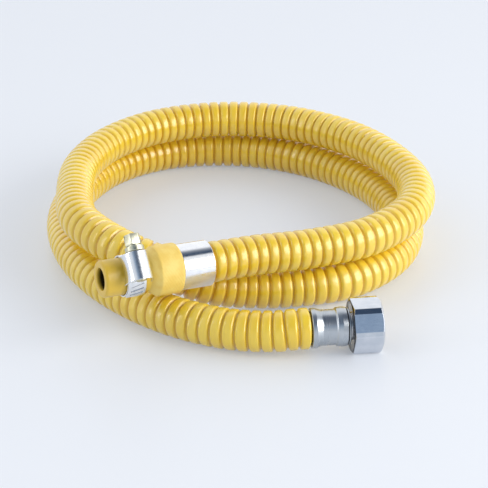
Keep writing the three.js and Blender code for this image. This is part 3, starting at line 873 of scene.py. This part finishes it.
def add_strip(tree, given, index):
    straight = add(tree, "GeometryNodeCurvePrimitiveLine").outputs[0]
    count = calc(tree, "ADD", given["Steps"], 1.0)
    rail = add(tree, "GeometryNodeResampleCurve", {"Curve": straight, "Count": count}).outputs[0]
    sweep = calc(tree, "SUBTRACT", given["End angle"], given["Start angle"])
    share = calc(tree, "DIVIDE", index, given["Steps"])
    angle = calc(tree, "MULTIPLY_ADD", share, sweep, given["Start angle"])
    spot = arc_point(tree, angle, path_radius(tree, given, angle))
    rail = add(tree, "GeometryNodeSetPosition", {"Geometry": rail, "Position": spot}).outputs[0]
    rail = add(tree, "GeometryNodeSetCurveNormal", {"Curve": rail}, mode="Z_UP").outputs[0]
    sockets = {"Width": given["Thickness"], "Height": given["Width"]}
    section = add(tree, "GeometryNodeCurvePrimitiveQuadrilateral", sockets).outputs[0]
    radius = calc(tree, "MULTIPLY", given["Thickness"], 0.3)
    sockets = {"Curve": section, "Count": 3, "Radius": radius}
    section = add(tree, "GeometryNodeFilletCurve", sockets, mode="POLY").outputs[0]
    sockets = {"Curve": rail, "Profile Curve": section, "Fill Caps": True}
    return add(tree, "GeometryNodeCurveToMesh", sockets).outputs[0]


# %% Slots of the band
def add_slots(tree, given, index):
    angle = calc(tree, "MULTIPLY_ADD", index, given["Slot pitch"], given["Slot angle"])
    middle = path_radius(tree, given, angle)
    spot = arc_point(tree, angle, calc(tree, "MULTIPLY_ADD", given["Thickness"], 0.6, middle))
    points = add(tree, "GeometryNodePoints", {"Count": given["Slots"], "Position": spot}).outputs[0]
    depth = calc(tree, "MULTIPLY", given["Thickness"], 1.3)
    sockets = {"X": depth, "Y": given["Slot width"], "Z": given["Slot length"]}
    size = add(tree, "ShaderNodeCombineXYZ", sockets).outputs[0]
    box = add(tree, "GeometryNodeMeshCube", {"Size": size}).outputs[0]
    turn = add(tree, "ShaderNodeCombineXYZ", {"X": given["Slot slant"], "Z": angle}).outputs[0]
    turn = add(tree, "FunctionNodeEulerToRotation", {0: turn}).outputs[0]
    sockets = {"Points": points, "Instance": box, "Rotation": turn}
    slots = add(tree, "GeometryNodeInstanceOnPoints", sockets).outputs[0]
    return add(tree, "GeometryNodeRealizeInstances", {0: slots}).outputs[0]


# %% Tree for the slotted band
def slotted_band_tree():
    tree, given = fresh_tree("slotted band", [
        ("Radius", "Float"), ("Start angle", "Float"), ("End angle", "Float"),
        ("Climb start", "Float"), ("Climb end", "Float"), ("Climb height", "Float"),
        ("Width", "Float"), ("Thickness", "Float"), ("Steps", "Int"), ("Slots", "Int"),
        ("Slot angle", "Float"), ("Slot pitch", "Float"), ("Slot width", "Float"),
        ("Slot length", "Float"), ("Slot slant", "Float"), ("Material", "Material"),
    ])
    index = add(tree, "GeometryNodeInputIndex").outputs[0]
    cut = add(tree, "GeometryNodeMeshBoolean", operation="DIFFERENCE", solver="EXACT")
    tree.links.new(add_strip(tree, given, index), cut.inputs[0])
    tree.links.new(add_slots(tree, given, index), cut.inputs[1])
    end_tree(tree, cut.outputs[0], given["Material"])
    return tree


band_tree = slotted_band_tree()
print("slotted band:", len(band_tree.nodes), "nodes")

# %% Finish of the band
BAND_STEEL = ((0.76, 0.78, 0.80), (0.85, 0.86, 0.88))

band_finish = metal(
    "band_steel", BAND_STEEL, patch=4, stretch=(1, 0.1, 0.1), grain=0.4, gloss=(0.16, 0.24),
    depth=0.002,
)

# %% Band
BAND_R = 9.05
BAND_THICK = 0.7
BAND_GAP = 0.3
SLOT_PITCH = 2.2
CLAMP_PLACE = Matrix.Translation((14.4, 0, 0))
CLAMP_TURN = Matrix.Rotation(math.radians(52), 4, "X")
ACROSS = Matrix(((0, 0, 1, 0), (1, 0, 0, 0), (0, 1, 0, 0), (0, 0, 0, 1)))

clamp_frame = socket_frame @ CLAMP_PLACE @ CLAMP_TURN
band_mesh = grown(bpy.data.meshes.new("band_host"), band_tree, {
    "Radius": BAND_R, "Start angle": math.radians(65), "End angle": math.radians(535),
    "Climb start": math.radians(395), "Climb end": math.radians(420),
    "Climb height": BAND_THICK + BAND_GAP, "Width": 9.0, "Thickness": BAND_THICK, "Steps": 188,
    "Slots": 11, "Slot angle": math.radians(380), "Slot pitch": SLOT_PITCH / BAND_R,
    "Slot width": 1.0, "Slot length": 6.4, "Slot slant": math.radians(15), "Material": band_finish,
})
band_mesh.transform(ACROSS)
band_mesh.shade_smooth()
band_mesh.set_sharp_from_angle(angle=math.radians(35))
band = handed_over("band", settled(band_mesh, clamp_frame), "hose", "clamp_band")
print("band:", len(band_mesh.polygons), "faces")

# %% [markdown]
# ## Housing of the clamp
# The housing is pressed from one piece of sheet: a tunnel over the screw that comes down on each
# side, in one rounded curve, to a foot on the band. A block with a hole would be simpler, but its
# ends would show thick walls. So the mesh is one open sheet too: its section is drawn at several
# places along the screw, narrowest in the middle, and the feet drop away towards both ends as the
# neck curves. Solidify gives it its thickness, and Bevel breaks its edges. Its chrome is greyer and
# less sharp than the sleeve's, because the sheet was pressed and not turned.

# %% Finish of the housing
PRESSED = (CHROME_DIM, (0.74, 0.77, 0.81))

pressed_finish = metal(
    "pressed_chrome", PRESSED, patch=4, grain=2.0, detail=4.0, gloss=(0.2, 0.27), depth=0.002
)

# %% Section of the housing
BAND_TOP = BAND_R + 2 * BAND_THICK + BAND_GAP
WORM_R = 3.4
WORM_HEIGHT = BAND_TOP + BAND_GAP + WORM_R
HOUSING_LENGTH = 13.5
SHEET = 0.7
TUNNEL_R = WORM_R + BAND_GAP + SHEET / 2
SHOULDER_R = BAND_TOP + BAND_GAP + SHEET / 2
WAIST = 5.9
FLARE = 0.7
DOME_REACH = 4.9
TOE = 0.2
ROWS = 27


def arc(middle, reach, first_deg, last_deg, steps):
    """Points on an ellipse, given by its middle and its reach along each direction."""
    angles = np.radians(np.linspace(first_deg, last_deg, steps))
    (x, y), (wide, high) = middle, reach
    return [(x + wide * math.cos(a), y + high * math.sin(a)) for a in angles]


def housing_section(y):
    """Section across the screw at a place along it, from the left foot to the right one."""
    foot = math.sqrt(SHOULDER_R**2 - y**2)
    half = WAIST + FLARE * (2 * y / HOUSING_LENGTH) ** 2
    dome = arc((0, WORM_HEIGHT), (DOME_REACH, TUNNEL_R), 150, 30, 25)
    start, end, after = (Vector(v) for v in ((-half, foot), dome[0], dome[1]))
    turn = end + (after - end) * ((TOE - half - end.x) / (after.x - end.x))
    left = [(1 - t) ** 2 * start + 2 * t * (1 - t) * turn + t**2 * end for t in np.arange(12) / 12]
    right = [(-x, z) for x, z in reversed(left)]
    return np.array([*left, *dome, *right])


# %% Housing
sections = [(y, housing_section(y)) for y in np.linspace(-0.5, 0.5, ROWS) * HOUSING_LENGTH]
across = len(sections[0][1])
points = [(x, y, z) for y, section in sections for x, z in section]
faces = [
    (r * across + i, r * across + i + 1, (r + 1) * across + i + 1, (r + 1) * across + i)
    for r in range(ROWS - 1) for i in range(across - 1)
]
housing_mesh = bpy.data.meshes.new("housing")
housing_mesh.from_pydata(points, [], faces)
housing_mesh.shade_smooth()
housing = handed_over(
    "housing", settled(housing_mesh, clamp_frame), "hose", "clamp_housing", pressed_finish
)
wall = housing.modifiers.new("wall", "SOLIDIFY")
wall.thickness = SHEET * MM
wall.offset = 0
edges = housing.modifiers.new("edges", "BEVEL")
edges.width = 0.12 * MM
edges.segments = 2
edges.limit_method = "ANGLE"
print("housing:", len(housing_mesh.polygons), "faces before its wall")

# %% [markdown]
# ## Worm screw
# The screw has a thread like a worm, a rim that stops it on the housing, a collar and a hexagon
# head with a slot for a screwdriver. It is zinc-plated, which is warmer and duller than chrome. One
# outline can't make both ends, so the shaft is turned, with its thread as a wave on the surface,
# and the head is a prism with a slot cut by a Boolean. The two meshes are then put together.

# %% Finish of zinc
ZINC = ((0.62, 0.61, 0.46), (0.68, 0.67, 0.53))

zinc_finish = metal(
    "zinc_plating", ZINC, patch=3, edge=0.35, stretch=(1, 0.1, 0.1), grain=0.25,
    gloss=(0.26, 0.36), depth=0.0015,
)

# %% Shaft of the screw
HEAD_START = HOUSING_LENGTH / 2 + 0.3
COLLAR_TOP = HEAD_START + 3.0
SHAFT_R = 2.55
WORM_DEPTH = 0.85
RIM_R = 4.5
RIM_END = HEAD_START + 2.4
COLLAR_R = 3.2
ALONG_WORM = Matrix.Translation((0, 0, WORM_HEIGHT)) @ Matrix.Rotation(math.pi / 2, 4, "Z")

screw_frame = clamp_frame @ ALONG_WORM


def shaft_outline(angle):
    xs = np.linspace(-HOUSING_LENGTH / 2 + 0.6, 6.2, 73)
    worm = threaded(xs, angle, SHAFT_R, WORM_DEPTH, SLOT_PITCH, 1.4)
    rim = rounded([
        (6.4, SHAFT_R), (HEAD_START, SHAFT_R), (HEAD_START, RIM_R, 0.3), (RIM_END, RIM_R, 0.35),
        (RIM_END, COLLAR_R, 0.1), (COLLAR_TOP + 0.1, COLLAR_R), (COLLAR_TOP + 0.1, 0),
    ], closed=False)
    tip = [(-HOUSING_LENGTH / 2, 0), (-HOUSING_LENGTH / 2, 2.3)]
    return np.vstack([tip, np.column_stack([xs, worm]), rim])


shaft_mesh = revolved("shaft", shaft_outline, closed=False)
print("shaft:", len(shaft_mesh.polygons), "faces")

# %% Helpers for the head
def prism(name, outline, low, high):
    """Closed prism along the X axis over an outline in the Y and Z plane."""
    work = bmesh.new()
    ends = [[work.verts.new((x, y, z)) for y, z in outline] for x in (low, high)]
    work.faces.new(ends[0][::-1])
    work.faces.new(ends[1])
    for i, (a, b) in enumerate(zip(ends[0], ends[1])):
        j = (i + 1) % len(outline)
        work.faces.new((a, ends[0][j], ends[1][j], b))
    mesh = bpy.data.meshes.new(name)
    work.to_mesh(mesh)
    work.free()
    return mesh


def with_modifiers(mesh, *kinds):
    """Mesh after the given modifiers, each as (kind, settings)."""
    host = bpy.data.objects.new(mesh.name, mesh)
    bpy.context.collection.objects.link(host)
    for kind, settings in kinds:
        modifier = host.modifiers.new(kind, kind)
        for key, value in settings.items():
            setattr(modifier, key, value)
    graph = bpy.context.evaluated_depsgraph_get()
    done = bpy.data.meshes.new_from_object(host.evaluated_get(graph))
    bpy.data.objects.remove(host)
    return done


# %% Head of the screw
HEAD_HEIGHT = 5.2
HEAD_FLATS = 7.0
SLOT_HALF = 0.6
SLOT_DEPTH = 1.8

corner = HEAD_FLATS / math.sqrt(3)
hexagon = [(corner * math.cos(a), corner * math.sin(a)) for a in np.arange(6) * math.pi / 3]
top = COLLAR_TOP + HEAD_HEIGHT
slot_box = [(-5, -SLOT_HALF), (5, -SLOT_HALF), (5, SLOT_HALF), (-5, SLOT_HALF)]
cutter = bpy.data.objects.new("slot", prism("slot", slot_box, top - SLOT_DEPTH, top + 1))
bpy.context.collection.objects.link(cutter)
head_mesh = with_modifiers(
    prism("head", hexagon, COLLAR_TOP, top),
    ("BOOLEAN", {"object": cutter, "operation": "DIFFERENCE", "solver": "EXACT"}),
    ("BEVEL", {"width": 0.22, "segments": 3, "limit_method": "ANGLE"}),
)
bpy.data.objects.remove(cutter)
print("head:", len(head_mesh.polygons), "faces")

# %% Screw
work = bmesh.new()
work.from_mesh(shaft_mesh)
work.from_mesh(head_mesh)
screw_mesh = bpy.data.meshes.new("screw")
work.to_mesh(screw_mesh)
work.free()
screw_mesh.shade_smooth()
screw_mesh.set_sharp_from_angle(angle=math.radians(40))
screw = handed_over(
    "screw", settled(screw_mesh, screw_frame), "worm_screw", "clamp_screw", zinc_finish
)
print("screw:", len(screw_mesh.polygons), "faces")

# %% [markdown]
# ## Length of the hose
# A hose has a fixed length and bends only so far. Here the length of its jacket is printed.

print(f"declared a hose of {length_of(jacket_line) * MM:.2f} m")

# %% [markdown]
# ## Floor
# The hose lies on a plain pale floor that melts into the background. A painted floor alone would
# darken away from the lamps. So a share of it shines by itself in the background's colour, but only
# where the camera or a mirror sees it: the hose gets no extra light from below.

# %% Finish of the floor
FLOOR_COLOUR = (0.80, 0.83, 0.88)
BACKDROP = (0.80, 0.835, 0.90)
BACKDROP_SHARE = 0.35

floor_finish, tree, _ = finish("pale_floor", FLOOR_COLOUR, 0.0, 0.4)
path = add(tree, "ShaderNodeLightPath").outputs
seen = calc(tree, "MAXIMUM", path["Is Camera Ray"], path["Is Glossy Ray"])
seen = calc(tree, "MAXIMUM", seen, path["Is Transmission Ray"])
shown = add(tree, "ShaderNodeEmission", {"Color": (*BACKDROP, 1)}).outputs[0]
share = calc(tree, "MULTIPLY", seen, BACKDROP_SHARE)
lit = node_of(tree, "BSDF_PRINCIPLED").outputs[0]
mixed = add(tree, "ShaderNodeMixShader", {0: share, 1: lit, 2: shown})
tree.links.new(mixed.outputs[0], node_of(tree, "OUTPUT_MATERIAL").inputs["Surface"])

# %% Floor
FLOOR_REACH = 6.0

corners = [(FLOOR_REACH * x, FLOOR_REACH * y, 0) for x, y in ((-1, -1), (1, -1), (1, 1), (-1, 1))]
floor_mesh = bpy.data.meshes.new("floor")
floor_mesh.from_pydata(corners, [], [(0, 1, 2, 3)])
floor_mesh.materials.append(floor_finish)
floor = bpy.data.objects.new("floor", floor_mesh)
bpy.context.collection.objects.link(floor)
print("floor:", 2 * FLOOR_REACH, "m wide")

# %% [markdown]
# ## Room
# Metal shows the room around it, and in the photograph it tells where the light is: its front
# mirrors a tall bright panel at the right, a dark strip of ceiling lies over the camera, and from
# straight overhead to the back everything is bright. Walls and cards could be built for that, but
# they would also throw shadows. So the world holds the room: its colour is worked out from the
# direction alone, in soft-edged regions by azimuth, and on the ceiling by its two directions.

# %% World
FRONT = (-math.sin(HEADING), -math.cos(HEADING), 0)
RIGHT = (math.cos(HEADING), -math.sin(HEADING), 0)
BEHIND = (1.12, 1.13, 1.15)
LEFT = (0.80, 0.83, 0.88)
LOW = (0.74, 0.79, 0.86)
NEAR_CAMERA = (0.36, 0.47, 0.62)
CARD = (0.05, 0.08, 0.135)
PANEL = (0.98, 0.99, 1.01)
RIGHT_SIDE = (0.50, 0.53, 0.58)

world = bpy.data.worlds.new("studio")
bpy.context.scene.world = world
world.use_nodes = True
tree = world.node_tree
tree.nodes.clear()
look = add(tree, "ShaderNodeTexCoord").outputs["Generated"]


def part_of(direction):
    sockets = {0: look, 1: direction}
    return add(tree, "ShaderNodeVectorMath", sockets, operation="DOT_PRODUCT").outputs["Value"]


def between(value, low, low_soft, high, high_soft):
    """1 between two values and 0 outside them, with a soft border of its own on each side."""
    rise = ramp(tree, value, low - low_soft, low + low_soft)
    fall = ramp(tree, value, high - high_soft, high + high_soft, 1.0, 0.0)
    return calc(tree, "MULTIPLY", rise, fall)


# %% Regions of the room
# A region is where it starts and ends, each followed by its softness. Azimuths are in degrees from
# the camera's side to the right, and ceiling places in shares of the ceiling's height.
OVER_CAMERA = (-0.5, 0.5, 2.9, 0.25)
NOT_LEFT = (-30, 15, 31, 1)
BY_AZIMUTH = (((24, 2, 31, 1), CARD), ((32, 1, 150, 20), RIGHT_SIDE), ((32, 1, 84, 7), PANEL))
TO_THE_BACK = (-0.7, -0.3)
CARD_PLACE = ((-0.3, 0.28, 1.3, 0.03), (-0.15, 0.45, 0.58, 0.03))

front, right, up = part_of(FRONT), part_of(RIGHT), part_of((0, 0, 1))
azimuth = calc(tree, "MULTIPLY", calc(tree, "ARCTAN2", right, front), 180 / math.pi)
height = calc(tree, "MAXIMUM", up, 0.02)
ceiling_front, ceiling_right = (calc(tree, "DIVIDE", part, height) for part in (front, right))
colour = blended(tree, between(ceiling_front, *OVER_CAMERA), LOW, NEAR_CAMERA)
colour = blended(tree, between(azimuth, *NOT_LEFT), LEFT, colour)
for region, shade in BY_AZIMUTH:
    colour = blended(tree, between(azimuth, *region), colour, shade)
colour = blended(tree, ramp(tree, ceiling_front, *TO_THE_BACK), BEHIND, colour)
sides = (between(part, *span) for part, span in zip((ceiling_front, ceiling_right), CARD_PLACE))
colour = blended(tree, calc(tree, "MULTIPLY", *sides), colour, CARD)
background = add(tree, "ShaderNodeBackground", {"Color": colour, "Strength": 1.0})
add(tree, "ShaderNodeOutputWorld", {"Surface": background.outputs[0]})
bpy.context.scene.view_settings.view_transform = "Standard"
print("room:", len(tree.nodes), "nodes")

# %% [markdown]
# ## Lamps
# A large softbox at the right gives the broad sheen on the ribs and the soft shadow on the floor. A
# narrow strip at the left gives the thin light on the left shoulders of the ribs. The world alone
# could light the hose, but its shadow would be too faint. How bright a lamp's surface is decides
# how white its reflection is, so each lamp is given by that, and its power follows from its size.

# %% Lamps
WARM = (1.0, 0.975, 0.94)


def lamp(name, azimuth_deg, elevation_deg, distance, size, brightness):
    """Area lamp that faces the hose. Its brightness is that of its surface, where 1 is white."""
    turn, rise = math.radians(azimuth_deg), math.radians(elevation_deg)
    toward = Vector(FRONT) * math.cos(turn) + Vector(RIGHT) * math.sin(turn)
    toward = toward * math.cos(rise) + Vector((0, 0, math.sin(rise)))
    data = bpy.data.lights.new(name, "AREA")
    data.shape = "RECTANGLE"
    data.size, data.size_y = size
    data.energy = brightness * math.pi * size[0] * size[1]
    data.color = WARM
    source = bpy.data.objects.new(name, data)
    source.location = toward * distance
    source.rotation_euler = toward.to_track_quat("Z", "Y").to_euler()
    bpy.context.collection.objects.link(source)
    print(f"lamp {name}: {data.energy:.1f} W")


lamp("key", 70, 25, 1.6, (1.5, 1.15), 4.0)
lamp("strip", -70, 24, 1.6, (0.14, 1.5), 5.5)
